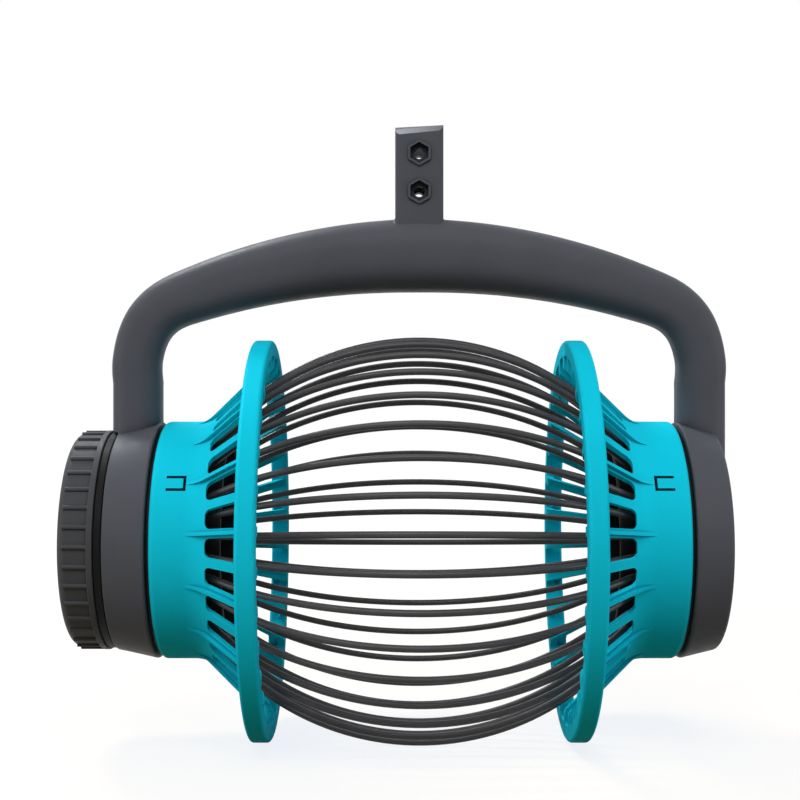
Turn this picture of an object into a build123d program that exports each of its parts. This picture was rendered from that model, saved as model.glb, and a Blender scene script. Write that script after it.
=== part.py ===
# Rolling nut collector head: a cage of bowed rods between two slotted trumpet flanges, carried by a
# handle yoke and emptied through a ribbed cap on the left end of the roller.
# Millimetres and degrees. The roller turns about the X axis, +Z is up, -Y faces the viewer.
# Everything is modelled about the roller axis and moved down at the end, so that the origin is the
# mouth of the pole socket.
from build123d import *
import math
import os

# Cage and flanges
RIM_RADIUS = 113.0
RIM_WIDTH = 10.4
RIM_DEPTH = 8.7
RIM_SPACING = 165.0
RIM_PLATE = 4.0
RIM_EDGE = 1.8
GROOVE_ROUND = 1.5
BELL_LENGTH = 60.8
HUB_RADIUS = 66.9
HUB_WALL = 3.2
HUB_EDGE = 2.8
HUB_CLOSED = 30.4
FLARE_WALL = 2.6
FLARE_BLEND = 20.0
MOUTH_ROUND = 4.0
PLATE_ROUND = 3.0
BAR_COUNT = 30
BAR_WIDTH = 4.8
SLOT_ROUND = 3.0
SLOT_CORNER = 2.2
FIN_THICKNESS = 2.0
FIN_HEIGHT = 2.2
FIN_LEAD = 14.0
FIN_RISE = 0.3
FIN_SINK = 1.0
BAR_PHASE = 7.6

# Rods
ROD_COUNT = 36
ROD_PHASE = 6.5
ROD_DIAMETER = 3.7
ROD_BULGE = 1.75
ROD_END_BEND = 14.0
ROD_LEAD = 0.4
ROD_SEAT_DEPTH = 9.0
ROD_FIT = 0.05
ROD_ROOM = 2.4

# Snap tongues in the hub wall
TONGUE_COUNT = 3
TONGUE_STAND = 8.4
TONGUE_LENGTH = 10.6
TONGUE_WIDTH = 9.1
TONGUE_SLIT = 1.6
NIB_LENGTH = 2.0
NIB_HEIGHT = 0.8
NIB_ROOM = 0.3

# Rod rings, sleeve and stub
RING_FIT = 0.15
RING_FACE = 1.9
RING_WALL = 7.3
RING_LENGTH = 25.1
RING_EDGE = 0.6
SLEEVE_WALL = 3.5
SLEEVE_REACH = 13.7
SLEEVE_EDGE = 1.2
RUNNING_FIT = 0.25
STUB_FIT = 0.1
BEAD_HEIGHT = 0.7
BEAD_WIDTH = 3.0
BEAD_ROOM = 0.3
FLANGE_LIP = 5.0
FLANGE_WIDTH = 4.3
END_PLAY = 0.3

# Outlet cap
CAP_LIP = 0.9
CAP_RIM_WIDTH = 3.3
CAP_BODY_DROP = 1.5
CAP_LENGTH = 19.6
CAP_EDGE = 5.0
CAP_WALL = 2.6
RIB_COUNT = 36
RIB_PHASE = 1.3
RIB_RADIUS = 1.4
RIB_STOP = 3.6
RIB_DROP = 0.1
DISH_DEPTH = 7.5
DISH_DRAFT = 1.5
CHANNEL_ROUND = 1.0
GRIP_WIDTH = 16.0
GRIP_DROP = 1.2
GRIP_EDGE = 3.0
SPIGOT_LENGTH = 16.3
SPIGOT_FIT = 0.3
LUG_COUNT = 3
LUG_ARC = 9.0
LUG_LENGTH = 3.0
LUG_HEIGHT = 1.8
LUG_ROOM = 0.4
LUG_STAND = 1.0
LUG_ARC_ROOM = 1.5
LOCK_TURN = 25.0
SEAL_WIDTH = 2.5
SEAL_DEPTH = 1.5
SEAL_FIT = 0.1
SEAL_STAND = 6.0
SEAL_EDGE = 0.4

# Handle yoke
EYE_GAP = 2.2
EYE_LENGTH_LEFT = 23.2
EYE_LENGTH_RIGHT = 20.8
EYE_TAPER = 5.0
EYE_EDGE = 1.2
EYE_END_EDGE = 3.0
EYE_END_WALL = 2.8
ARM_WIDTH = 27.4
ARM_STEP = 0.5
FOOT_DROP_LEFT = 21.0
FOOT_DROP_RIGHT = 52.0
FADE_TOP = 22.0
FADE_LENGTH = 24.0
FADE_ROUND = 40.0
ARM_DEPTH = 34.0
YOKE_SQUARENESS = 2.6
BOW_GAP = 25.85
BOW_HEIGHT = 41.1
BOW_DEPTH = 47.0
BOW_RADIUS = 380.0
BOW_CORNER = 37.0
BOW_TAPER = 1.5
BOW_STATIONS = 24
SECTION_POINTS = 16
FLANGE_ROOM = 1.8

# Pole socket on the yoke
POST_WIDTH = 27.0
POST_DEPTH = 36.0
POST_HEIGHT = 51.2
POST_EDGE = 3.0
POST_FOOT_ROUND = 1.5
POST_BEVEL = 2.4
POST_BEVEL_DROP = 3.2
POST_TOP_FALL = 2.6
POST_TOP_REACH = 8.0
SOCKET_RADIUS = 10.5
SOCKET_LENGTH = 48.0
BOLT_DROP = 15.8
BOLT_SPACING = 21.3
BOLT_HOLE_RADIUS = 3.05
NUT_FLATS = 10.2
NUT_DEPTH = 4.0
BOSS_FLATS = 12.6
BOSS_ROUND = 2.0
BOSS_HEIGHT = 1.2

# A cut runs this far past the face that it opens
CUT_OVER = 1.0

# Flanges, from the rim outwards along the roller
rim_inner_face = RIM_SPACING / 2
rim_outer_face = rim_inner_face + RIM_WIDTH
rim_inner_radius = RIM_RADIUS - RIM_DEPTH
hub_end = rim_inner_face + BELL_LENGTH
hub_bore = HUB_RADIUS - HUB_WALL
slot_end = hub_end - HUB_CLOSED
tongue_root = hub_end - TONGUE_STAND
tongue_tip = tongue_root - TONGUE_LENGTH
nib_start = tongue_tip + 1.5 * TONGUE_SLIT
nib_width = TONGUE_WIDTH - 4 * TONGUE_SLIT
bar_pitch = 360.0 / BAR_COUNT

# Rod rings fill the hubs, and the sleeve and the stub fill the rings
ring_radius = hub_bore - RING_FIT
ring_bore = ring_radius - RING_WALL
ring_outer_end = hub_end + RING_FACE
ring_inner_end = ring_outer_end - RING_LENGTH
sleeve_radius = ring_bore - RUNNING_FIT
sleeve_bore = sleeve_radius - SLEEVE_WALL
sleeve_inner_end = ring_inner_end - SLEEVE_REACH
bead_centre = ring_inner_end + 2 * BEAD_WIDTH

# A rod is one bow that touches a reverse bend at each end, and the bend ends parallel to the roller axis
rod_radius = ROD_DIAMETER / 2
rod_pitch = 360.0 / ROD_COUNT
cage_radius = RIM_RADIUS + ROD_BULGE
rod_middle_radius = cage_radius - rod_radius
rod_seat_radius = (ring_radius + ring_bore) / 2
rod_end = ring_inner_end + ROD_SEAT_DEPTH
bend_centre_x = ring_inner_end - ROD_LEAD
bend_centre_radius = rod_seat_radius + ROD_END_BEND
bow_rise = rod_middle_radius - rod_seat_radius
bow_reach = bend_centre_x ** 2 + (bow_rise - ROD_END_BEND) ** 2 - ROD_END_BEND ** 2
rod_bow_radius = bow_reach / (2 * bow_rise)
bow_centre = rod_middle_radius - rod_bow_radius
bend_angle = math.degrees(math.asin(bend_centre_x / (rod_bow_radius + ROD_END_BEND)))

# The flare lies along the rods, closest to them halfway up its slots
flare_place = (rim_outer_face + slot_end) / 2
flare_angle = math.degrees(math.asin(flare_place / rod_bow_radius))

# Yoke eyes, sleeve flange and cap, outwards from the hubs
eye_radius = HUB_RADIUS
eye_inner_face = hub_end + EYE_GAP
eye_left_face = eye_inner_face + EYE_LENGTH_LEFT
eye_right_face = eye_inner_face + EYE_LENGTH_RIGHT
eye_left_bore = sleeve_radius + RUNNING_FIT
flange_radius = sleeve_radius + FLANGE_LIP
flange_inner_face = eye_left_face + END_PLAY
flange_outer_face = flange_inner_face + FLANGE_WIDTH
stub_end = eye_right_face - EYE_END_WALL - STUB_FIT
cap_start = flange_outer_face + END_PLAY
cap_end = cap_start + CAP_LENGTH
cap_rim_radius = flange_radius + CAP_LIP
cap_body_radius = cap_rim_radius - CAP_BODY_DROP
spigot_radius = sleeve_bore - SPIGOT_FIT
spigot_bore = spigot_radius - CAP_WALL
spigot_end = cap_start - SPIGOT_LENGTH
lug_start = spigot_end + LUG_STAND
seal_start = flange_outer_face - SEAL_STAND - SEAL_WIDTH

# Arms, bow and post
arm_inner_face = eye_inner_face + ARM_STEP
arm_centre = arm_inner_face + ARM_WIDTH / 2
arm_foot_left = eye_radius - FOOT_DROP_LEFT
arm_foot_right = eye_radius - FOOT_DROP_RIGHT
bow_middle = cage_radius + BOW_GAP + BOW_HEIGHT / 2
bow_top = bow_middle + BOW_HEIGHT / 2
post_top = bow_top + POST_HEIGHT


def around(shape, angle):
    """Turn a shape modelled at the top of the roller to an angle measured up from the front."""
    return Rot(90.0 - angle, 0, 0) * shape


def spun(corners):
    """Revolve an outline of (x, radius, rounding) corners about the roller axis."""
    places = [(x, radius) for x, radius, rounding in corners]
    roundings = [rounding for x, radius, rounding in corners]
    outline = FilletPolyline(*places, radius=roundings, close=True)
    face = Plane.XZ * make_face(outline)
    return revolve(face, Axis.X, 360.0)


def sector(x_from, x_to, inner, outer, arc):
    """Part of a ring, centred on the top of the roller."""
    corners = Polyline((x_from, inner), (x_to, inner), (x_to, outer), (x_from, outer), close=True)
    face = Plane.XZ * make_face(corners)
    return Rot(arc / 2, 0, 0) * revolve(face, Axis.X, -arc)


def upright_block(x_from, x_to, width, z_from, z_to):
    """A block on the top of the roller, centred across Y."""
    middle = Pos((x_from + x_to) / 2, 0, (z_from + z_to) / 2)
    return middle * Box(x_to - x_from, width, z_to - z_from)


def cone_radius(x, offset):
    """Radius of the flare at x: a straight cone lying clear of the bowed rods by offset."""
    lean = math.radians(flare_angle)
    reach = rod_bow_radius + rod_radius + ROD_ROOM + offset
    return bow_centre + (reach - x * math.sin(lean)) / math.cos(lean)


def cone_place(radius, offset):
    """Place along the roller where the flare has the given radius."""
    lean = math.radians(flare_angle)
    reach = rod_bow_radius + rod_radius + ROD_ROOM + offset
    return (reach - (radius - bow_centre) * math.cos(lean)) / math.sin(lean)


def make_bell():
    """Right trumpet flange: hub, slotted flare with fins, and rim, with snap tongues in the hub."""
    plate_face = rim_inner_face + RIM_PLATE
    hub_turn_out = cone_place(HUB_RADIUS, FLARE_WALL)
    bell = spun([
        (hub_end, hub_bore, 0),
        (cone_place(hub_bore, 0), hub_bore, FLARE_BLEND + FLARE_WALL),
        (rim_inner_face, cone_radius(rim_inner_face, 0), MOUTH_ROUND),
        (rim_inner_face, RIM_RADIUS, RIM_EDGE),
        (rim_outer_face, RIM_RADIUS, RIM_EDGE),
        (rim_outer_face, rim_inner_radius, RIM_EDGE),
        (plate_face, rim_inner_radius, GROOVE_ROUND),
        (plate_face, cone_radius(plate_face, FLARE_WALL), PLATE_ROUND),
        (hub_turn_out, HUB_RADIUS, FLARE_BLEND),
        (hub_end, HUB_RADIUS, min(HUB_EDGE, 0.9 * HUB_WALL)),
    ])

    # Wedge slots between bars of even width
    half_bar = BAR_WIDTH / 2
    inner = rod_seat_radius
    lower = inner * math.sin(math.radians(bar_pitch / 2) - math.asin(half_bar / inner))
    upper = rim_inner_radius * math.sin(math.radians(bar_pitch / 2) - math.asin(half_bar / rim_inner_radius))
    wedge = make_face(FilletPolyline(
        (-lower, inner), (lower, inner), (upper, rim_inner_radius), (-upper, rim_inner_radius),
        radius=[0, 0, SLOT_CORNER, SLOT_CORNER], close=True))
    cut_from = rim_inner_face - CUT_OVER
    cutter = extrude(Plane((cut_from, 0, 0), (0, 1, 0), (1, 0, 0)) * wedge, slot_end - cut_from)
    end_edges = cutter.edges().filter_by(lambda edge: abs(edge.center().X - slot_end) < 0.01)
    side_edges = end_edges.filter_by(lambda edge: edge.length > 3 * upper)
    cutter = fillet(side_edges, min(SLOT_ROUND, 0.95 * lower))
    slot_angles = [BAR_PHASE + bar_pitch * (index + 0.5) for index in range(BAR_COUNT)]
    bell = bell - [around(cutter, angle) for angle in slot_angles]

    # Low fins follow the flare on every second bar, and are webbed into the groove behind the rim
    fin_top = FLARE_WALL + FIN_HEIGHT
    fin_turn = cone_place(HUB_RADIUS + FIN_RISE, fin_top)
    fin_face = rim_outer_face - FIN_SINK
    fin_root = plate_face - FIN_SINK
    fin = make_face(FilletPolyline(
        (fin_turn + FIN_LEAD, HUB_RADIUS - FIN_SINK),
        (fin_turn, HUB_RADIUS + FIN_RISE),
        (fin_face, cone_radius(fin_face, fin_top)),
        (fin_face, rim_inner_radius + FIN_SINK),
        (fin_root, rim_inner_radius + FIN_SINK),
        (fin_root, cone_radius(fin_root, FLARE_WALL / 2)),
        (hub_turn_out, HUB_RADIUS - FIN_SINK),
        radius=[0, FLARE_BLEND - FIN_HEIGHT, 0, 0, 0, 0, 0], close=True))
    fin = extrude(Plane.XZ * fin, FIN_THICKNESS / 2, both=True)
    fin_angles = [BAR_PHASE + 2 * bar_pitch * index for index in range(BAR_COUNT // 2)]
    bell = bell + [around(fin, angle) for angle in fin_angles]

    # U-shaped slits free each tongue, whose nib holds the rod ring
    slit_low = hub_bore - CUT_OVER
    slit_high = HUB_RADIUS + CUT_OVER
    leg = upright_block(tongue_tip, tongue_root, TONGUE_SLIT, slit_low, slit_high)
    across = upright_block(tongue_tip, tongue_tip + TONGUE_SLIT, TONGUE_WIDTH, slit_low, slit_high)
    leg_place = (TONGUE_WIDTH - TONGUE_SLIT) / 2
    slit = Pos(0, leg_place, 0) * leg + Pos(0, -leg_place, 0) * leg + across
    nib = upright_block(nib_start, nib_start + NIB_LENGTH, nib_width, hub_bore - NIB_HEIGHT, hub_bore + NIB_HEIGHT)
    for angle in tongue_angles():
        bell = bell - around(slit, angle) + around(nib, angle)
    return bell


def tongue_angles():
    """Tongues stand in line with fins, evenly round the hub."""
    first = BAR_PHASE + 2 * bar_pitch
    return [first + index * 360.0 / TONGUE_COUNT for index in range(TONGUE_COUNT)]


def make_rod_ring():
    """Right rod ring: seats for the rods, a bore for the sleeve and a groove for its bead."""
    groove_half = BEAD_WIDTH / 2 + BEAD_ROOM
    groove_radius = sleeve_radius + BEAD_HEIGHT + BEAD_ROOM
    ring = spun([
        (ring_inner_end, ring_bore, RING_EDGE),
        (ring_inner_end, ring_radius, RING_EDGE),
        (ring_outer_end, ring_radius, RING_EDGE),
        (ring_outer_end, ring_bore, RING_EDGE),
        (bead_centre + groove_half, ring_bore, 0),
        (bead_centre + groove_half, groove_radius, 0),
        (bead_centre - groove_half, groove_radius, 0),
        (bead_centre - groove_half, ring_bore, 0),
    ])
    seat_mouth = Plane((ring_inner_end - CUT_OVER, 0, rod_seat_radius), (0, 1, 0), (1, 0, 0))
    seat = extrude(seat_mouth * Circle(rod_radius + ROD_FIT), ROD_SEAT_DEPTH + CUT_OVER + NIB_ROOM)
    ring = ring - [around(seat, angle) for angle in rod_angles()]
    pocket = upright_block(nib_start - NIB_ROOM, nib_start + NIB_LENGTH + NIB_ROOM, nib_width + 2 * NIB_ROOM,
                           hub_bore - NIB_HEIGHT - NIB_ROOM, hub_bore + CUT_OVER)
    return ring - [around(pocket, angle) for angle in tongue_angles()]


def rod_angles():
    """Angles of the rods, in order round the cage."""
    return [ROD_PHASE + rod_pitch * index for index in range(ROD_COUNT)]


def make_rod():
    """One bowed rod on the top of the cage, bent at both ends to lie along the roller axis."""
    lean = math.radians(bend_angle)
    turn_x = rod_bow_radius * math.sin(lean)
    turn_z = bow_centre + rod_bow_radius * math.cos(lean)
    half_lean = lean / 2
    bend_x = bend_centre_x - ROD_END_BEND * math.sin(half_lean)
    bend_z = bend_centre_radius - ROD_END_BEND * math.cos(half_lean)
    bow = ThreePointArc((-turn_x, turn_z), (0, rod_middle_radius), (turn_x, turn_z))
    right_bend = ThreePointArc((turn_x, turn_z), (bend_x, bend_z), (bend_centre_x, rod_seat_radius))
    left_bend = ThreePointArc((-bend_centre_x, rod_seat_radius), (-bend_x, bend_z), (-turn_x, turn_z))
    right_end = Line((bend_centre_x, rod_seat_radius), (rod_end, rod_seat_radius))
    left_end = Line((-rod_end, rod_seat_radius), (-bend_centre_x, rod_seat_radius))
    path = Plane.XZ * Wire([left_end, left_bend, bow, right_bend, right_end])
    section = Plane((-rod_end, 0, rod_seat_radius), (0, 1, 0), (1, 0, 0)) * Circle(rod_radius)
    return sweep(section, path)


def make_left_sleeve():
    """Left sleeve, modelled on the right: journal in the yoke eye, flange, and bayonet slots inside."""
    sleeve = spun([
        (sleeve_inner_end, sleeve_bore, SLEEVE_EDGE),
        (sleeve_inner_end, sleeve_radius, SLEEVE_EDGE),
        (bead_centre - BEAD_WIDTH / 2, sleeve_radius, 0),
        (bead_centre - BEAD_HEIGHT, sleeve_radius + BEAD_HEIGHT, 0),
        (bead_centre + BEAD_WIDTH / 2, sleeve_radius + BEAD_HEIGHT, 0),
        (bead_centre + BEAD_WIDTH / 2, sleeve_radius, 0),
        (flange_inner_face, sleeve_radius, 0),
        (flange_inner_face, flange_radius, RING_EDGE),
        (flange_outer_face, flange_radius, RING_EDGE),
        (flange_outer_face, sleeve_bore, RING_EDGE),
    ])
    slot_radius = spigot_radius + LUG_HEIGHT + SPIGOT_FIT
    entry_arc = LUG_ARC + LUG_ARC_ROOM
    lock_start = lug_start - LUG_ROOM
    lock_end = lug_start + LUG_LENGTH + LUG_ROOM
    slot_low = sleeve_bore - CUT_OVER
    entry = sector(lock_start, flange_outer_face + CUT_OVER, slot_low, slot_radius, entry_arc)
    lock = sector(lock_start, lock_end, slot_low, slot_radius, entry_arc + LOCK_TURN)
    lock = Rot(LOCK_TURN / 2, 0, 0) * lock
    slots = [around(piece, angle) for angle in lug_angles() for piece in (entry, lock)]
    return sleeve - slots


def lug_angles():
    """Angles of the bayonet lugs on the cap."""
    return [90.0 + index * 360.0 / LUG_COUNT for index in range(LUG_COUNT)]


def make_right_stub():
    """Right stub: fixed in the blind eye of the yoke, the right rod ring turns on it."""
    return spun([
        (sleeve_inner_end, sleeve_bore, SLEEVE_EDGE),
        (sleeve_inner_end, sleeve_radius, SLEEVE_EDGE),
        (bead_centre - BEAD_WIDTH / 2, sleeve_radius, 0),
        (bead_centre - BEAD_HEIGHT, sleeve_radius + BEAD_HEIGHT, 0),
        (bead_centre + BEAD_WIDTH / 2, sleeve_radius + BEAD_HEIGHT, 0),
        (bead_centre + BEAD_WIDTH / 2, sleeve_radius, 0),
        (stub_end, sleeve_radius, RING_EDGE),
        (stub_end, sleeve_bore, 0),
    ])


def make_cap():
    """Outlet cap, modelled on the right: ribbed grip, dished face with a grip bar, bayonet spigot."""
    dish_radius = spigot_bore - DISH_DRAFT
    dish_floor = cap_end - DISH_DEPTH
    channel_top = cap_end - CAP_EDGE
    skirt_bore = cap_body_radius - CAP_WALL
    groove_radius = spigot_radius - SEAL_DEPTH
    cap = spun([
        (spigot_end, spigot_bore, 0),
        (spigot_end, spigot_radius, RING_EDGE),
        (seal_start - SEAL_FIT, spigot_radius, 0),
        (seal_start - SEAL_FIT, groove_radius, 0),
        (seal_start + SEAL_WIDTH + SEAL_FIT, groove_radius, 0),
        (seal_start + SEAL_WIDTH + SEAL_FIT, spigot_radius, 0),
        (channel_top, spigot_radius, CHANNEL_ROUND),
        (channel_top, skirt_bore, CHANNEL_ROUND),
        (cap_start, skirt_bore, 0),
        (cap_start, cap_rim_radius, RING_EDGE),
        (cap_start + CAP_RIM_WIDTH, cap_rim_radius, RING_EDGE),
        (cap_start + CAP_RIM_WIDTH, cap_body_radius, 0),
        (cap_end, cap_body_radius, CAP_EDGE),
        (cap_end, dish_radius, DISH_DRAFT),
        (dish_floor, dish_radius - DISH_DRAFT, GRIP_EDGE),
        (dish_floor, 0, 0),
        (dish_floor - CAP_WALL, 0, 0),
        (dish_floor - CAP_WALL, spigot_bore, 0),
    ])
    rib_start = cap_start + CAP_RIM_WIDTH - RING_EDGE
    rib_end = cap_end - RIB_STOP
    rib_centre = cap_rim_radius - RIB_DROP - RIB_RADIUS
    rib = Plane((rib_start, 0, rib_centre), (0, 1, 0), (1, 0, 0)) * Circle(RIB_RADIUS)
    rib = extrude(rib, rib_end - rib_start)
    ribs = [around(rib, RIB_PHASE + index * 360.0 / RIB_COUNT) for index in range(RIB_COUNT)]
    lug_root = spigot_radius - CUT_OVER
    lug = sector(lug_start, lug_start + LUG_LENGTH, lug_root, spigot_radius + LUG_HEIGHT, LUG_ARC)
    lugs = [around(lug, angle) for angle in lug_angles()]
    bar = upright_block(dish_floor - CAP_WALL / 2, cap_end - GRIP_DROP, GRIP_WIDTH, -dish_radius, dish_radius)
    bar = fillet(bar.edges().filter_by(Axis.Z).group_by(Axis.X)[-1], GRIP_EDGE)
    return cap + ribs + lugs + bar


def make_seal():
    """Friction ring in the groove of the cap's spigot."""
    inner = spigot_radius - SEAL_DEPTH + SEAL_FIT
    outer = sleeve_bore - SEAL_FIT
    return spun([
        (seal_start, inner, SEAL_EDGE),
        (seal_start, outer, SEAL_EDGE),
        (seal_start + SEAL_WIDTH, outer, SEAL_EDGE),
        (seal_start + SEAL_WIDTH, inner, SEAL_EDGE),
    ])


def make_tube():
    """The bow and arms of the yoke: straight arms under a bow of rounded sections, highest at its middle."""
    corner_drop = BOW_RADIUS - math.sqrt(BOW_RADIUS ** 2 - arm_centre ** 2)
    corner_height = bow_middle - corner_drop
    arm_top = corner_height - BOW_CORNER
    left_rise = Line((-arm_centre, arm_top), (-arm_centre, corner_height))
    bow = ThreePointArc((-arm_centre, corner_height), (0, bow_middle), (arm_centre, corner_height))
    right_fall = Line((arm_centre, corner_height), (arm_centre, arm_top))
    path = Wire([left_rise, bow, right_fall])
    corners = path.vertices().sort_by(Axis.Y)[2:4]
    path = path.fillet_2d(BOW_CORNER, corners)
    sections = []
    for index in range(BOW_STATIONS + 1):
        place = path.position_at(index / BOW_STATIONS)
        along = path.tangent_at(index / BOW_STATIONS)
        share = 1.0 - min(1.0, abs(place.X) / arm_centre) ** BOW_TAPER
        height = ARM_WIDTH + (BOW_HEIGHT - ARM_WIDTH) * share
        depth = ARM_DEPTH + (BOW_DEPTH - ARM_DEPTH) * share
        plane = Plane((place.X, 0, place.Y), (-along.Y, 0, along.X), (along.X, 0, along.Y))
        sections.append(plane * make_section(height, depth))
    left_arm = extrude(sections[0], arm_foot_left - arm_top, dir=(0, 0, 1))
    right_arm = extrude(sections[-1], arm_foot_right - arm_top, dir=(0, 0, 1))
    return loft(sections) + left_arm + right_arm


def make_section(height, depth):
    """Oval section of the yoke, a little squarer than an ellipse."""
    points = []
    for index in range(SECTION_POINTS):
        turn = 2 * math.pi * index / SECTION_POINTS
        across = math.copysign(abs(math.cos(turn)) ** (2 / YOKE_SQUARENESS), math.cos(turn))
        deep = math.copysign(abs(math.sin(turn)) ** (2 / YOKE_SQUARENESS), math.sin(turn))
        points.append((across * height / 2, deep * depth / 2))
    return make_face(Spline(*points, periodic=True))


def make_post():
    """Socket post with nut bosses on its front, bevelled there and lower at its left, still without bores."""
    height = POST_HEIGHT + BOW_HEIGHT / 2
    post = Pos(0, 0, post_top - height / 2) * Box(POST_WIDTH, POST_DEPTH, height)
    post = fillet(post.edges().filter_by(Axis.Z), POST_EDGE)
    front = -POST_DEPTH / 2
    fall = POST_TOP_FALL / POST_TOP_REACH
    brow = front + POST_BEVEL
    bevel = make_face(Polyline(
        (front - POST_BEVEL, post_top - 2 * POST_BEVEL_DROP), (brow, post_top),
        (brow + POST_DEPTH, post_top + fall * POST_DEPTH), (front - POST_BEVEL, post_top + fall * POST_DEPTH),
        close=True))
    bevel = extrude(Plane.YZ * bevel, 2 * POST_WIDTH, both=True)
    slope = math.degrees(math.atan(POST_TOP_FALL / POST_WIDTH))
    corner = Pos(POST_WIDTH / 2, 0, post_top)
    post = post - corner * Rot(0, -slope, 0) * corner.inverse() * bevel
    boss_plane = Plane((0, front, 0), (0, 0, 1), (0, -1, 0))
    boss = RegularPolygon(BOSS_FLATS / 2, 6, major_radius=False)
    boss = extrude(boss_plane * fillet(boss.vertices(), BOSS_ROUND), BOSS_HEIGHT)
    return post + [Pos(0, 0, height) * boss for height in bolt_heights()]


def bolt_heights():
    """Heights of the two cross bolts above the roller axis."""
    upper = post_top - BOLT_DROP
    return [upper, upper - BOLT_SPACING]


def on_post_foot(edge):
    """Whether an edge lies where the post meets the top of the bow."""
    place = edge.center()
    return abs(place.X) < POST_WIDTH / 2 + CUT_OVER and bow_middle < place.Z < bow_top + CUT_OVER


def make_eye(length, end_edge):
    """Solid conical eye on the right; the bore is cut later."""
    outer = eye_inner_face + length
    return spun([
        (eye_inner_face, 0, 0),
        (eye_inner_face, eye_radius, EYE_EDGE),
        (outer, eye_radius - EYE_TAPER, end_edge),
        (outer, 0, 0),
    ])


def along_roller(x_from, x_to, radius):
    """Cylinder on the roller axis between two places."""
    return Pos((x_from + x_to) / 2, 0, 0) * Rot(0, 90, 0) * Cylinder(radius, abs(x_to - x_from))


def make_yoke():
    """Handle yoke in one moulding: bow, arms, open left eye, blind right eye and socket post."""
    yoke = make_tube() + make_post()
    foot_edges = yoke.edges().filter_by(on_post_foot)
    yoke = fillet(foot_edges, POST_FOOT_ROUND)
    yoke = yoke + mirror(make_eye(EYE_LENGTH_LEFT, EYE_EDGE), Plane.YZ)
    yoke = yoke + make_eye(EYE_LENGTH_RIGHT, EYE_END_EDGE)

    # Bores of the eyes, and room for the sleeve's flange under the left arm
    far = arm_centre + ARM_WIDTH
    near = eye_inner_face - CUT_OVER
    yoke = yoke - along_roller(-far, -near, eye_left_bore)
    yoke = yoke - along_roller(-far, -eye_left_face, flange_radius + FLANGE_ROOM)
    yoke = yoke - along_roller(near, eye_right_face - EYE_END_WALL, sleeve_radius + STUB_FIT)

    # The foot of the right arm fades into the end of its eye in a hollow curve
    fade_end = arm_centre + ARM_WIDTH / 2 + CUT_OVER
    fade_high = eye_radius - FADE_TOP
    yoke = yoke - spun([
        (eye_right_face, 0, 0),
        (eye_right_face, fade_high - FADE_LENGTH, FADE_ROUND),
        (fade_end, fade_high, 0),
        (fade_end, 0, 0),
    ])

    # Pole socket, cross bolt holes and nut pockets
    yoke = yoke - Pos(0, 0, post_top - SOCKET_LENGTH / 2) * Cylinder(SOCKET_RADIUS, SOCKET_LENGTH)
    pocket_face = -POST_DEPTH / 2 - BOSS_HEIGHT
    pocket_plane = Plane((0, pocket_face, 0), (0, 0, 1), (0, 1, 0))
    pocket = RegularPolygon(NUT_FLATS / 2, 6, major_radius=False)
    pocket = extrude(pocket_plane * pocket, NUT_DEPTH)
    hole = Rot(90, 0, 0) * Cylinder(BOLT_HOLE_RADIUS, 2 * POST_DEPTH)
    for height in bolt_heights():
        yoke = yoke - Pos(0, 0, height) * pocket - Pos(0, 0, height) * hole
    return yoke


def save(name, shape):
    """Write one node, moved so that the mouth of the pole socket is the origin."""
    export_step(Pos(0, 0, -post_top) * shape, "parts/" + name + ".step")


os.makedirs("parts", exist_ok=True)
bell = make_bell()
rod_ring = make_rod_ring()
save("handle_yoke", make_yoke())
save("right_stub", make_right_stub())
save("right_bell", bell)
save("left_bell", mirror(bell, Plane.YZ))
save("right_rod_ring", rod_ring)
save("left_rod_ring", mirror(rod_ring, Plane.YZ))
save("left_sleeve", mirror(make_left_sleeve(), Plane.YZ))
save("outlet_cap", mirror(make_cap(), Plane.YZ))
save("cap_seal", mirror(make_seal(), Plane.YZ))
rod = make_rod()
for number, angle in enumerate(rod_angles(), start=1):
    save("cage_rod_%02d" % number, around(rod, angle))
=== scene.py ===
"""Finishes, stage and camera of the rolling nut collector, laid out as an add-on around its CAD frame."""

import math
from typing import NamedTuple

import bpy
from bpy.props import FloatProperty, FloatVectorProperty, PointerProperty
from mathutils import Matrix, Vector


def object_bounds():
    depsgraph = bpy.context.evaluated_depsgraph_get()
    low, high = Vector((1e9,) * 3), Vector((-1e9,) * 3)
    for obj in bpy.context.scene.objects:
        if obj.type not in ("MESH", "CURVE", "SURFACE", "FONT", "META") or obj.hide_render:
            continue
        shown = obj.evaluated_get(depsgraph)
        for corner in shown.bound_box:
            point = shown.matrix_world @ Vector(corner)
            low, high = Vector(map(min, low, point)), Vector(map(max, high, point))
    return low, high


bl_info = {
    "name": "Nut collector finishes",
    "version": (1, 0, 0),
    "blender": (4, 5, 0),
    "location": "View3D > Sidebar > Collector",
    "description": "Moulded plastic finishes, studio stage and camera for the rolling nut collector",
    "category": "Object",
}

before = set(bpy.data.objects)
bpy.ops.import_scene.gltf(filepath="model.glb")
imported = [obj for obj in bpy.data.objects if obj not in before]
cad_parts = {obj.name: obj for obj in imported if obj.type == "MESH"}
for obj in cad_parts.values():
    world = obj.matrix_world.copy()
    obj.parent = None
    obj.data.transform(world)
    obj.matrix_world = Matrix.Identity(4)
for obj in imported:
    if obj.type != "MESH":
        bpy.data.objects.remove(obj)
cad_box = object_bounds()

FLANGES = ["left_bell", "right_bell"]
BEARINGS = ["left_rod_ring", "right_rod_ring", "left_sleeve", "right_stub"]
RODS = sorted(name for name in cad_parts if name.startswith("cage_rod_"))
WHITE = (1.0, 1.0, 1.0, 1.0)


# What sets one moulded plastic apart from the next

class Moulding(NamedTuple):
    """Specular level, shares of the set grain depth and edge fade, colour drift and shade of the edges."""

    gloss: float
    grain: float
    fade: float
    drift: float
    pale: tuple


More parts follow.
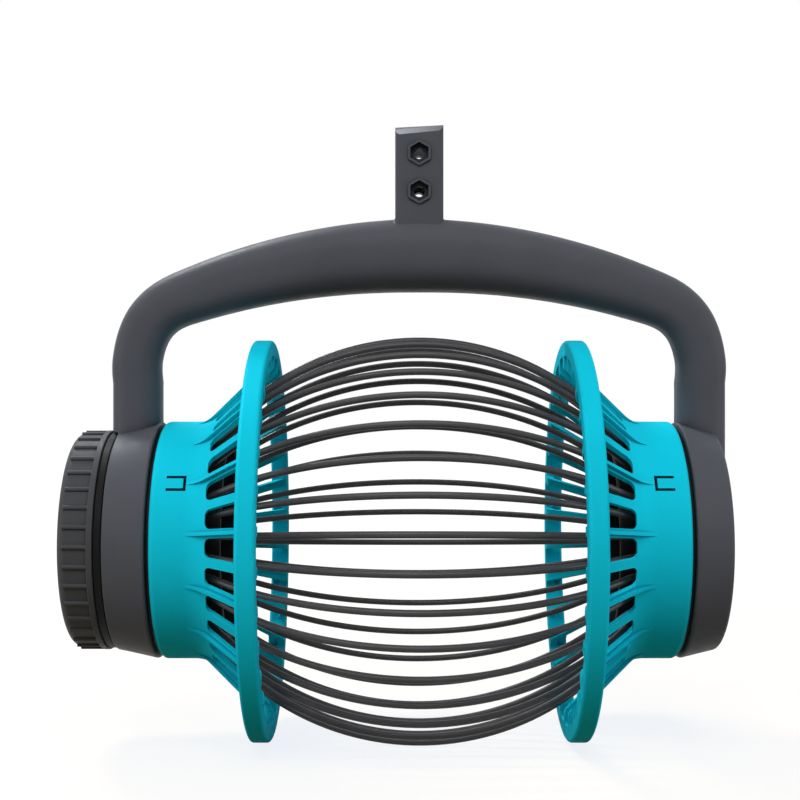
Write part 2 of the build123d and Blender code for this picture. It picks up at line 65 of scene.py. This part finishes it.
FLANGE_PLASTIC = Moulding(gloss=0.02, grain=0.4, fade=1.0, drift=0.03, pale=(0.05, 0.74, 0.86, 1.0))
YOKE_PLASTIC = Moulding(gloss=0.03, grain=1.0, fade=1.0, drift=0.05, pale=(0.20, 0.20, 0.21, 1.0))
CAP_PLASTIC = Moulding(gloss=0.04, grain=1.0, fade=2.0, drift=0.05, pale=(0.22, 0.22, 0.225, 1.0))
BEARING_PLASTIC = Moulding(gloss=0.10, grain=0.3, fade=1.0, drift=0.10, pale=(0.02, 0.02, 0.021, 1.0))
SEAL_RUBBER = Moulding(gloss=0.20, grain=1.0, fade=0.08, drift=0.15, pale=WHITE)

# The range that most values of a noise lie in
NOISE_MIDDLE = (0.3, 0.7)

# Where an edge starts and is full, by how well its rounded normal agrees with the true one
EDGE_AGREEMENT = (0.995, 0.80)

# Painted shade in recesses: where it starts and is full, by the openness of the recess, and the share of
# its red, green and blue that is left
RECESS_OPENNESS = (0.92, 0.35)
RECESS_SHADE_COLOUR = (0.20, 0.20, 0.25)

# Drawn rods: how fine their lines are in X, Y and Z, how deep, how dark and light, and the grain below
ROD_GLOSS = 0.25
ROD_LINES = (14.0, 900.0, 900.0)
ROD_LINE_DEPTH = 0.00004
ROD_LINE_STRENGTH = 0.6
ROD_LINE_TONES = (0.86, 1.14)
ROD_DRIFT = 0.12
ROD_GLOSS_DRIFT = 0.08
ROD_GRAIN_SIZE = 0.0004

# Painted highlight on the bevel of the post: where it starts and is full, by place and by the way the
# surface faces
BEVEL_HIGHLIGHT = (0.40, 0.41, 0.43, 1.0)
BEVEL_HEIGHT = (-0.0075, -0.0062)
BEVEL_ACROSS = (0.0140, -0.0120)
BEVEL_RIGHT_SHARE = 0.25
BEVEL_FACING_UP = (0.35, 0.50)
BEVEL_FACING_FRONT = (-0.55, -0.70)


# Lights, sky, floor and camera

class Lamp(NamedTuple):
    """A soft rectangular light: where it stands, how wide and deep it is, and its colour."""

    place: tuple
    size: tuple
    colour: tuple


TOP_LAMP = Lamp(place=(0.05, -0.10, 1.00), size=(0.5, 0.5), colour=(1.0, 0.99, 0.97))
FRONT_LAMP = Lamp(place=(-0.2, -1.35, 1.20), size=(1.4, 1.2), colour=(1.0, 1.0, 1.0))
RIM_LAMP = Lamp(place=(-0.50, 0.52, 0.66), size=(0.4, 0.2), colour=(0.95, 0.98, 1.0))
LEFT_LAMP = Lamp(place=(-1.1, -0.25, -0.05), size=(0.5, 0.5), colour=(0.86, 0.93, 1.0))
RIGHT_LAMP = Lamp(place=(1.1, -0.25, -0.05), size=(0.5, 0.5), colour=(0.86, 0.93, 1.0))

SKY_BELOW = (0.05, 0.05, 0.05, 1.0)
SKY_SIDE = (0.46, 0.60, 0.92, 1.0)
SKY_ABOVE = (0.85, 0.86, 0.88, 1.0)

# The floor shows this shade under the collector, and grows to white over these distances from the middle
FLOOR_SHADE = (0.806, 0.842, 0.898, 1.0)
FLOOR_GROWTH = (0.25, 1.6)
FLOOR_GAP = 0.0004
FLOOR_CORNERS = 96

SENSOR_WIDTH = 36.0


# Sizes and colours that a user would change

def colour_property(name, description, default):
    """A colour swatch with full cover."""
    return FloatVectorProperty(
        name=name, description=description, subtype="COLOR", size=4, min=0.0, max=1.0,
        default=(*default, 1.0),
    )


def length_property(name, description, default, least=0.0):
    """A length in metres."""
    return FloatProperty(
        name=name, description=description, subtype="DISTANCE", unit="LENGTH", min=least, default=default
    )


def share_property(name, description, default):
    """A share from none to all."""
    return FloatProperty(
        name=name, description=description, subtype="FACTOR", min=0.0, max=1.0, default=default
    )


def power_property(name, description, default):
    """A light's power in watts."""
    return FloatProperty(
        name=name, description=description, subtype="POWER", unit="POWER", min=0.0, default=default
    )


class CollectorColours(bpy.types.PropertyGroup):
    """Base colours of the pieces and the floor."""

    flange: colour_property("Flange", "Cyan of the two slotted flanges", (0.006, 0.600, 0.760))
    yoke: colour_property("Yoke", "Dark grey of the handle yoke", (0.089, 0.091, 0.102))
    cap: colour_property("Outlet cap", "Dark grey of the ribbed outlet cap", (0.068, 0.069, 0.072))
    rod: colour_property("Rods", "Near black of the cage rods", (0.054, 0.053, 0.055))
    bearing: colour_property("Bearings", "Black of the rod rings, sleeve and stub", (0.005, 0.005, 0.005))
    seal: colour_property("Seal", "Black of the rubber friction ring", (0.007, 0.007, 0.007))
    floor: colour_property("Floor", "Warm light that the floor throws back", (0.22, 0.16, 0.08))


class CollectorFinish(bpy.types.PropertyGroup):
    """Grain, edges, recesses and roughness of the pieces."""

    grain_size: length_property("Grain size", "Spacing of the moulded grain", 0.0006, least=0.0001)
    grain_depth: length_property("Grain depth", "Depth of the moulded grain on the grey plastic", 0.00002)
    edge_width: length_property("Edge width", "Width of the paler line along the edges", 0.0007)
    edge_fade: share_property("Edge fade", "How far the edges fade towards a paler shade", 0.25)
    # Reach and strength of the painted shade in pockets, slots and inner corners
    recess_reach: length_property("Recess reach", "How near the walls of a recess are", 0.010)
    recess_shade: share_property("Recess shade", "How dark the pockets and inner corners are", 0.85)
    flange_roughness: share_property("Flange roughness", "Roughness of the cyan plastic", 0.70)
    yoke_roughness: share_property("Yoke roughness", "Roughness of the yoke's grey plastic", 0.42)
    cap_roughness: share_property("Cap roughness", "Roughness of the cap's grey plastic", 0.47)
    rod_roughness: share_property("Rod roughness", "Roughness of the drawn rods", 0.40)
    bearing_roughness: share_property("Bearing roughness", "Roughness of the black plastic", 0.60)
    seal_roughness: share_property("Seal roughness", "Roughness of the rubber", 0.75)


class CollectorStage(bpy.types.PropertyGroup):
    """Floor, lights and camera."""

    floor_radius: length_property("Floor radius", "Radius of the round floor", 6.0, least=1.0)
    top_power: power_property("Top light", "Power of the faint light above", 0.8)
    front_power: power_property("Front light", "Power of the wide light above the camera", 23.0)
    rim_power: power_property("Rim light", "Power of the narrow light above and behind", 9.0)
    side_power: power_property("Side lights", "Power of each of the two weak lights at the ends", 3.5)
    sky_level: FloatProperty(
        name="Sky", description="Level of the even light from all round", min=0.0, default=0.34
    )
    lens: FloatProperty(
        name="Lens", description="Focal length of the camera, in millimetres", subtype="DISTANCE_CAMERA",
        unit="CAMERA", min=10.0, default=65.4,
    )
    camera_place: FloatVectorProperty(
        name="Camera place", description="Where the camera stands, level and square to the front",
        subtype="TRANSLATION", unit="LENGTH", size=3, default=(-0.0108, -0.828, -0.1537),
    )


# Node helpers

def add_node(tree, kind, place, **settings):
    """A node of that kind at that place in the tree, with its settings."""
    node = tree.nodes.new(kind)
    node.location = place
    for name, value in settings.items():
        setattr(node, name, value)
    return node


def feed(socket, value):
    """Gives an input its value, either a plain one or another node's output."""
    if isinstance(value, bpy.types.NodeSocket):
        socket.id_data.links.new(value, socket)
    else:
        socket.default_value = value


def set_inputs(node, **values):
    """Feeds a node's inputs by name, with a blank written as an underscore."""
    for name, value in values.items():
        feed(node.inputs[name.replace("_", " ")], value)


def calculate(tree, place, operation, first, second):
    """A Math node on two values."""
    node = add_node(tree, "ShaderNodeMath", place, operation=operation)
    feed(node.inputs[0], first)
    feed(node.inputs[1], second)
    return node.outputs["Value"]


def blend(tree, place, share, first, second):
    """A mix that goes from the first colour to the second as the share grows."""
    node = add_node(tree, "ShaderNodeMix", place, data_type="RGBA")
    set_inputs(node, Factor=share, A=first, B=second)
    return node.outputs["Result"]


def ramp(tree, place, source, ends, low=0.0, high=1.0, **settings):
    """A value that goes from low to high as its source goes from one end to the other."""
    node = add_node(tree, "ShaderNodeMapRange", place, **settings)
    start, stop = ends
    set_inputs(node, Value=source, From_Min=start, From_Max=stop, To_Min=low, To_Max=high)
    return node.outputs["Result"]


def noise(tree, place, coords, **inputs):
    """A noise over those coordinates."""
    node = add_node(tree, "ShaderNodeTexNoise", place)
    set_inputs(node, Vector=coords, **inputs)
    return node.outputs["Fac"]


def object_coords(tree, place):
    """Coordinates that stay with the piece."""
    return add_node(tree, "ShaderNodeTexCoord", place).outputs["Object"]


def new_group(name, inputs, outputs):
    """A shader node group with named inputs and outputs, what it is given and the node that puts it out."""
    group = bpy.data.node_groups.new(name, "ShaderNodeTree")
    for label, kind, default in inputs:
        socket = group.interface.new_socket(name=label, in_out="INPUT", socket_type="NodeSocket" + kind)
        socket.default_value = default
    for label, kind in outputs:
        group.interface.new_socket(name=label, in_out="OUTPUT", socket_type="NodeSocket" + kind)
    given = add_node(group, "NodeGroupInput", (-900, 0))
    result = add_node(group, "NodeGroupOutput", (500, 0))
    return group, given.outputs, result


# Effects that several finishes share

def moulded_grain_group():
    """Colour drift, uneven gloss and fine grain of moulded plastic, by place on the piece."""
    name = "moulded_grain"
    if name in bpy.data.node_groups:
        return bpy.data.node_groups[name]
    inputs = [
        ("Colour", "Color", (0.1, 0.1, 0.1, 1.0)),
        ("Colour Drift", "Float", 0.06),
        ("Roughness", "Float", 0.5),
        ("Gloss Drift", "Float", 0.06),
        ("Grain Size", "Float", 0.0006),
    ]
    outputs = [("Colour", "Color"), ("Roughness", "Float"), ("Height", "Float")]
    group, given, result = new_group(name, inputs, outputs)
    coords = object_coords(group, (-900, -300))

    flow = noise(group, (-600, 200), coords, Scale=26.0, Detail=3.0, Roughness=0.55)
    dark = calculate(group, (-400, 320), "SUBTRACT", 1.0, given["Colour Drift"])
    light = calculate(group, (-400, 160), "ADD", 1.0, given["Colour Drift"])
    tone = add_node(group, "ShaderNodeHueSaturation", (100, 200))
    drift = ramp(group, (-200, 240), flow, NOISE_MIDDLE, dark, light)
    set_inputs(tone, Value=drift, Color=given["Colour"])

    sheen = noise(group, (-600, -100), coords, Scale=140.0, Detail=4.0, Roughness=0.6)
    glossy = calculate(group, (-400, -60), "SUBTRACT", given["Roughness"], given["Gloss Drift"])
    dull = calculate(group, (-400, -220), "ADD", given["Roughness"], given["Gloss Drift"])
    roughness = ramp(group, (-200, -120), sheen, NOISE_MIDDLE, glossy, dull)

    fineness = calculate(group, (-400, -420), "DIVIDE", 1.0, given["Grain Size"])
    grain = noise(group, (-200, -420), coords, Scale=fineness, Detail=2.0, Roughness=0.5)
    set_inputs(result, Colour=tone.outputs["Color"], Roughness=roughness, Height=grain)
    return group


def edge_fade_group():
    """A mask along the outer and inner edges of a piece, broken up a little by noise."""
    name = "edge_fade"
    if name in bpy.data.node_groups:
        return bpy.data.node_groups[name]
    inputs = [("Width", "Float", 0.0007), ("Amount", "Float", 0.25)]
    group, given, result = new_group(name, inputs, [("Mask", "Float")])
    rounded = add_node(group, "ShaderNodeBevel", (-650, 120), samples=4)
    set_inputs(rounded, Radius=given["Width"])
    true_normal = add_node(group, "ShaderNodeNewGeometry", (-650, -120)).outputs["Normal"]
    agreement = add_node(group, "ShaderNodeVectorMath", (-450, 60), operation="DOT_PRODUCT")
    feed(agreement.inputs[0], rounded.outputs["Normal"])
    feed(agreement.inputs[1], true_normal)
    edge = ramp(group, (-250, 60), agreement.outputs["Value"], EDGE_AGREEMENT)
    patches = noise(group, (-450, -260), object_coords(group, (-650, -320)), Scale=60.0, Detail=3.0)
    breaks = ramp(group, (-250, -240), patches, NOISE_MIDDLE, low=0.35)
    broken = calculate(group, (50, 0), "MULTIPLY", edge, breaks)
    set_inputs(result, Mask=calculate(group, (270, 0), "MULTIPLY", broken, given["Amount"]))
    return group


def recess_shade_group():
    """A mask of painted shade that grows in pockets, slots and inner corners."""
    name = "recess_shade"
    if name in bpy.data.node_groups:
        return bpy.data.node_groups[name]
    inputs = [("Reach", "Float", 0.010), ("Amount", "Float", 0.85)]
    group, given, result = new_group(name, inputs, [("Mask", "Float")])
    openness = add_node(group, "ShaderNodeAmbientOcclusion", (-400, 0), samples=8, only_local=True)
    set_inputs(openness, Distance=given["Reach"])
    closed = ramp(group, (-200, 0), openness.outputs["AO"], RECESS_OPENNESS)
    set_inputs(result, Mask=calculate(group, (150, 0), "MULTIPLY", closed, given["Amount"]))
    return group


# Finishes

def new_finish(name, gloss):
    """A material with only its shader, of that specular level, and its output."""
    finish = bpy.data.materials.new(name)
    finish.use_nodes = True
    tree = finish.node_tree
    tree.nodes.clear()
    shader = add_node(tree, "ShaderNodeBsdfPrincipled", (600, 0))
    set_inputs(shader, Specular_IOR_Level=gloss)
    output = add_node(tree, "ShaderNodeOutputMaterial", (900, 0))
    set_inputs(output, Surface=shader.outputs["BSDF"])
    return finish, tree, shader


def raised(tree, height, depth, strength=1.0):
    """The normal of a surface that is raised by that height."""
    bump = add_node(tree, "ShaderNodeBump", (300, -250))
    set_inputs(bump, Strength=strength, Distance=depth, Height=height)
    return bump.outputs["Normal"]


def moulded_finish(name, colour, roughness, moulding):
    """Moulded plastic: grain, uneven gloss, edges that pale a little and recesses darkened by painted
    shade.
    """
    sizes = bpy.context.scene.collector_finish
    finish, tree, shader = new_finish(name, moulding.gloss)
    grain = add_node(tree, "ShaderNodeGroup", (-500, 100), node_tree=moulded_grain_group())
    set_inputs(
        grain, Colour=colour, Colour_Drift=moulding.drift, Roughness=roughness, Grain_Size=sizes.grain_size
    )
    edge = add_node(tree, "ShaderNodeGroup", (-500, -250), node_tree=edge_fade_group())
    set_inputs(edge, Width=sizes.edge_width, Amount=sizes.edge_fade * moulding.fade)
    faded = blend(tree, (-150, 100), edge.outputs["Mask"], grain.outputs["Colour"], moulding.pale)
    recess = add_node(tree, "ShaderNodeGroup", (-150, -120), node_tree=recess_shade_group())
    set_inputs(recess, Reach=sizes.recess_reach, Amount=sizes.recess_shade)
    # Painted shade: the darker colour that pockets, slots and inner corners are mixed towards
    dark = (*(part * share for part, share in zip(colour, RECESS_SHADE_COLOUR)), 1.0)
    surface = blend(tree, (100, 100), recess.outputs["Mask"], faded, dark)
    normal = raised(tree, grain.outputs["Height"], sizes.grain_depth * moulding.grain)
    set_inputs(shader, Base_Color=surface, Roughness=grain.outputs["Roughness"], Normal=normal)
    return finish


def paint_post_bevel_highlight(finish):
    """Paints a highlight on the bevel along the front of the post's top, most at its lower left corner."""
    tree = finish.node_tree
    shader = tree.nodes["Principled BSDF"]
    moulded = shader.inputs["Base Color"].links[0].from_socket
    place = add_node(tree, "ShaderNodeSeparateXYZ", (-700, 700))
    set_inputs(place, Vector=object_coords(tree, (-900, 700)))
    facing = add_node(tree, "ShaderNodeSeparateXYZ", (-700, 500))
    set_inputs(facing, Vector=add_node(tree, "ShaderNodeNewGeometry", (-900, 500)).outputs["Normal"])
    highlight_share = ramp(tree, (-500, 900), place.outputs["Z"], BEVEL_HEIGHT)
    for share in (
        ramp(tree, (-500, 700), place.outputs["X"], BEVEL_ACROSS, low=BEVEL_RIGHT_SHARE),
        ramp(tree, (-500, 500), facing.outputs["Z"], BEVEL_FACING_UP),
        ramp(tree, (-500, 300), facing.outputs["Y"], BEVEL_FACING_FRONT),
    ):
        highlight_share = calculate(tree, (-250, 600), "MULTIPLY", highlight_share, share)
    set_inputs(shader, Base_Color=blend(tree, (350, 350), highlight_share, moulded, BEVEL_HIGHLIGHT))


def drawn_rod_finish(colour, roughness):
    """Drawn plastic rod: faint lines along its length and a soft sheen."""
    finish, tree, shader = new_finish("rod_black", ROD_GLOSS)
    stretch = add_node(tree, "ShaderNodeMapping", (-900, 0))
    set_inputs(stretch, Vector=object_coords(tree, (-1100, 0)), Scale=ROD_LINES)
    lines = noise(tree, (-700, 0), stretch.outputs["Vector"], Scale=1.0, Detail=3.0, Roughness=0.6)
    grain = add_node(tree, "ShaderNodeGroup", (-450, 200), node_tree=moulded_grain_group())
    set_inputs(
        grain, Colour=colour, Colour_Drift=ROD_DRIFT, Roughness=roughness, Gloss_Drift=ROD_GLOSS_DRIFT,
        Grain_Size=ROD_GRAIN_SIZE,
    )
    tone = add_node(tree, "ShaderNodeHueSaturation", (-150, 150))
    line_tone = ramp(tree, (-450, -60), lines, NOISE_MIDDLE, *ROD_LINE_TONES)
    set_inputs(tone, Value=line_tone, Color=grain.outputs["Colour"])
    normal = raised(tree, lines, ROD_LINE_DEPTH, ROD_LINE_STRENGTH)
    set_inputs(
        shader, Base_Color=tone.outputs["Color"], Roughness=grain.outputs["Roughness"], Normal=normal
    )
    return finish


def dress(names, finish):
    """Puts a finish in every material slot of the named CAD pieces."""
    for name in names:
        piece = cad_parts[name]
        if not piece.material_slots:
            piece.data.materials.append(finish)
        for place in piece.material_slots:
            place.material = finish


# Operators, one for each piece or group of like pieces

class COLLECTOR_OT_flanges(bpy.types.Operator):
    """Gives the two slotted flanges their dull cyan plastic"""

    bl_idname = "collector.flanges"
    bl_label = "Finish flanges"

    def execute(self, context):
        colour = context.scene.collector_colours.flange
        roughness = context.scene.collector_finish.flange_roughness
        dress(FLANGES, moulded_finish("flange_cyan", colour, roughness, FLANGE_PLASTIC))
        return {"FINISHED"}


class COLLECTOR_OT_yoke(bpy.types.Operator):
    """Gives the handle yoke its grained dark grey plastic and a painted highlight on the bevel of its post
    """

    bl_idname = "collector.yoke"
    bl_label = "Finish yoke"

    def execute(self, context):
        colour = context.scene.collector_colours.yoke
        roughness = context.scene.collector_finish.yoke_roughness
        finish = moulded_finish("yoke_grey", colour, roughness, YOKE_PLASTIC)
        # Painted highlight on the post's top bevel, where it faces up and to the front
        paint_post_bevel_highlight(finish)
        dress(["handle_yoke"], finish)
        return {"FINISHED"}


class COLLECTOR_OT_outlet_cap(bpy.types.Operator):
    """Gives the ribbed outlet cap its grained dark grey plastic"""

    bl_idname = "collector.outlet_cap"
    bl_label = "Finish outlet cap"

    def execute(self, context):
        colour = context.scene.collector_colours.cap
        roughness = context.scene.collector_finish.cap_roughness
        dress(["outlet_cap"], moulded_finish("cap_grey", colour, roughness, CAP_PLASTIC))
        return {"FINISHED"}


class COLLECTOR_OT_seal(bpy.types.Operator):
    """Gives the friction ring on the cap its matt rubber"""

    bl_idname = "collector.seal"
    bl_label = "Finish seal"

    def execute(self, context):
        colour = context.scene.collector_colours.seal
        roughness = context.scene.collector_finish.seal_roughness
        dress(["cap_seal"], moulded_finish("seal_rubber", colour, roughness, SEAL_RUBBER))
        return {"FINISHED"}


class COLLECTOR_OT_bearings(bpy.types.Operator):
    """Gives the rod rings, sleeve and stub their smooth black plastic"""

    bl_idname = "collector.bearings"
    bl_label = "Finish bearings"

    def execute(self, context):
        colour = context.scene.collector_colours.bearing
        roughness = context.scene.collector_finish.bearing_roughness
        dress(BEARINGS, moulded_finish("bearing_black", colour, roughness, BEARING_PLASTIC))
        return {"FINISHED"}


class COLLECTOR_OT_rods(bpy.types.Operator):
    """Gives the cage rods their drawn near black plastic"""

    bl_idname = "collector.rods"
    bl_label = "Finish rods"

    def execute(self, context):
        if not RODS:
            raise RuntimeError("the frame has no cage rods")
        colour = context.scene.collector_colours.rod
        roughness = context.scene.collector_finish.rod_roughness
        dress(RODS, drawn_rod_finish(colour, roughness))
        return {"FINISHED"}


# Stage

def white_to_camera(tree, place):
    """1 for what the camera sees directly, in a reflection or through something clear, and 0 for light."""
    rays = add_node(tree, "ShaderNodeLightPath", place).outputs
    direct = rays["Is Camera Ray"]
    seen = calculate(tree, (place[0] + 200, place[1]), "MAXIMUM", direct, rays["Is Glossy Ray"])
    return calculate(tree, (place[0] + 400, place[1]), "MAXIMUM", seen, rays["Is Transmission Ray"])


def floor_finish(colour):
    """Floor that shows white and keeps a soft shadow, and throws its colour back on the collector."""
    finish = bpy.data.materials.new("studio_floor")
    finish.use_nodes = True
    tree = finish.node_tree
    tree.nodes.clear()
    matt = add_node(tree, "ShaderNodeBsdfDiffuse", (0, 150))
    set_inputs(matt, Color=colour)
    reach = add_node(tree, "ShaderNodeVectorMath", (-700, -150), operation="LENGTH")
    feed(reach.inputs[0], object_coords(tree, (-900, -150)))
    distance = reach.outputs["Value"]
    growth = ramp(tree, (-500, -150), distance, FLOOR_GROWTH, interpolation_type="SMOOTHSTEP")
    glow = add_node(tree, "ShaderNodeEmission", (0, -150))
    shown = blend(tree, (-250, -150), growth, FLOOR_SHADE, WHITE)
    set_inputs(glow, Color=shown, Strength=white_to_camera(tree, (-900, -400)))
    both = add_node(tree, "ShaderNodeAddShader", (250, 0))
    feed(both.inputs[0], matt.outputs["BSDF"])
    feed(both.inputs[1], glow.outputs["Emission"])
    output = add_node(tree, "ShaderNodeOutputMaterial", (450, 0))
    set_inputs(output, Surface=both.outputs["Shader"])
    return finish


def make_floor(radius, colour):
    """A round floor under the lowest rods."""
    turns = [math.tau * index / FLOOR_CORNERS for index in range(FLOOR_CORNERS)]
    rim = [(radius * math.cos(turn), radius * math.sin(turn), 0.0) for turn in turns]
    mesh = bpy.data.meshes.new("studio_floor")
    mesh.from_pydata(rim, [], [list(range(FLOOR_CORNERS))])
    mesh.materials.append(floor_finish(colour))
    floor = bpy.data.objects.new("studio_floor", mesh)
    floor.location = (0.0, 0.0, cad_box[0].z - FLOOR_GAP)
    bpy.context.scene.collection.objects.link(floor)


def make_light(name, lamp, power):
    """A soft light that faces the middle of the collector."""
    data = bpy.data.lights.new(name, "AREA")
    data.shape = "RECTANGLE"
    data.size, data.size_y = lamp.size
    data.energy = power
    data.color = lamp.colour
    light = bpy.data.objects.new(name, data)
    light.location = lamp.place
    middle = (cad_box[0] + cad_box[1]) / 2
    light.rotation_euler = (middle - Vector(lamp.place)).to_track_quat("-Z", "Y").to_euler()
    bpy.context.scene.collection.objects.link(light)


def make_sky(level):
    """Even light, brightest above, cool at the sides and weak below; the camera sees plain white."""
    world = bpy.data.worlds.new("studio_sky")
    world.use_nodes = True
    tree = world.node_tree
    tree.nodes.clear()
    direction = add_node(tree, "ShaderNodeSeparateXYZ", (-700, 0))
    set_inputs(direction, Vector=add_node(tree, "ShaderNodeTexCoord", (-900, 0)).outputs["Generated"])
    shades = add_node(tree, "ShaderNodeValToRGB", (-300, 0))
    shades.color_ramp.elements[0].color = SKY_BELOW
    shades.color_ramp.elements[1].color = SKY_ABOVE
    shades.color_ramp.elements.new(0.5).color = SKY_SIDE
    set_inputs(shades, Fac=ramp(tree, (-500, 0), direction.outputs["Z"], (-1.0, 1.0)))
    light = add_node(tree, "ShaderNodeBackground", (0, 100))
    set_inputs(light, Color=shades.outputs["Color"], Strength=level)
    white = add_node(tree, "ShaderNodeBackground", (0, -100))
    set_inputs(white, Color=WHITE, Strength=1.0)
    mix = add_node(tree, "ShaderNodeMixShader", (250, 0))
    set_inputs(mix, Fac=white_to_camera(tree, (-500, 350)))
    feed(mix.inputs[1], light.outputs["Background"])
    feed(mix.inputs[2], white.outputs["Background"])
    output = add_node(tree, "ShaderNodeOutputWorld", (450, 0))
    set_inputs(output, Surface=mix.outputs["Shader"])
    bpy.context.scene.world = world


def make_camera(place, lens):
    """A level camera square to the front of the collector."""
    data = bpy.data.cameras.new("front_camera")
    data.lens = lens
    data.sensor_width = SENSOR_WIDTH
    camera = bpy.data.objects.new("front_camera", data)
    camera.location = place
    camera.rotation_euler = (math.radians(90), 0.0, 0.0)
    bpy.context.scene.collection.objects.link(camera)
    bpy.context.scene.camera = camera


class COLLECTOR_OT_stage(bpy.types.Operator):
    """Makes the pale floor, the soft studio light and the camera"""

    bl_idname = "collector.stage"
    bl_label = "Make stage"

    def execute(self, context):
        stage = context.scene.collector_stage
        make_floor(stage.floor_radius, context.scene.collector_colours.floor)
        make_light("top_light", TOP_LAMP, stage.top_power)
        make_light("front_light", FRONT_LAMP, stage.front_power)
        make_light("rim_light", RIM_LAMP, stage.rim_power)
        make_light("left_light", LEFT_LAMP, stage.side_power)
        make_light("right_light", RIGHT_LAMP, stage.side_power)
        make_sky(stage.sky_level)
        make_camera(stage.camera_place, stage.lens)
        context.scene.view_settings.view_transform = "Standard"
        return {"FINISHED"}


class COLLECTOR_PT_sidebar(bpy.types.Panel):
    """Steps, colours and sizes of the nut collector"""

    bl_label = "Nut collector"
    bl_idname = "COLLECTOR_PT_sidebar"
    bl_space_type = "VIEW_3D"
    bl_region_type = "UI"
    bl_category = "Collector"

    def draw(self, context):
        column = self.layout.column(align=True)
        for step in STEPS:
            column.operator(step.bl_idname)
        for name in GROUPS:
            settings = getattr(context.scene, name)
            for setting in settings.bl_rna.properties.keys():
                if setting not in {"rna_type", "name"}:
                    self.layout.prop(settings, setting)


GROUPS = {
    "collector_colours": CollectorColours,
    "collector_finish": CollectorFinish,
    "collector_stage": CollectorStage,
}
STEPS = [
    COLLECTOR_OT_flanges,
    COLLECTOR_OT_yoke,
    COLLECTOR_OT_outlet_cap,
    COLLECTOR_OT_seal,
    COLLECTOR_OT_bearings,
    COLLECTOR_OT_rods,
    COLLECTOR_OT_stage,
]


def register():
    """Registers the settings, steps and panel."""
    for name, group in GROUPS.items():
        bpy.utils.register_class(group)
        setattr(bpy.types.Scene, name, PointerProperty(type=group))
    for step in STEPS:
        bpy.utils.register_class(step)
    bpy.utils.register_class(COLLECTOR_PT_sidebar)


def unregister():
    """Takes the panel, steps and settings away again."""
    bpy.utils.unregister_class(COLLECTOR_PT_sidebar)
    for step in reversed(STEPS):
        bpy.utils.unregister_class(step)
    for name, group in reversed(GROUPS.items()):
        delattr(bpy.types.Scene, name)
        bpy.utils.unregister_class(group)


def main():
    register()
    bpy.ops.collector.flanges()
    bpy.ops.collector.yoke()
    bpy.ops.collector.outlet_cap()
    bpy.ops.collector.seal()
    bpy.ops.collector.bearings()
    bpy.ops.collector.rods()
    bpy.ops.collector.stage()


if __name__ == "__main__":
    main()
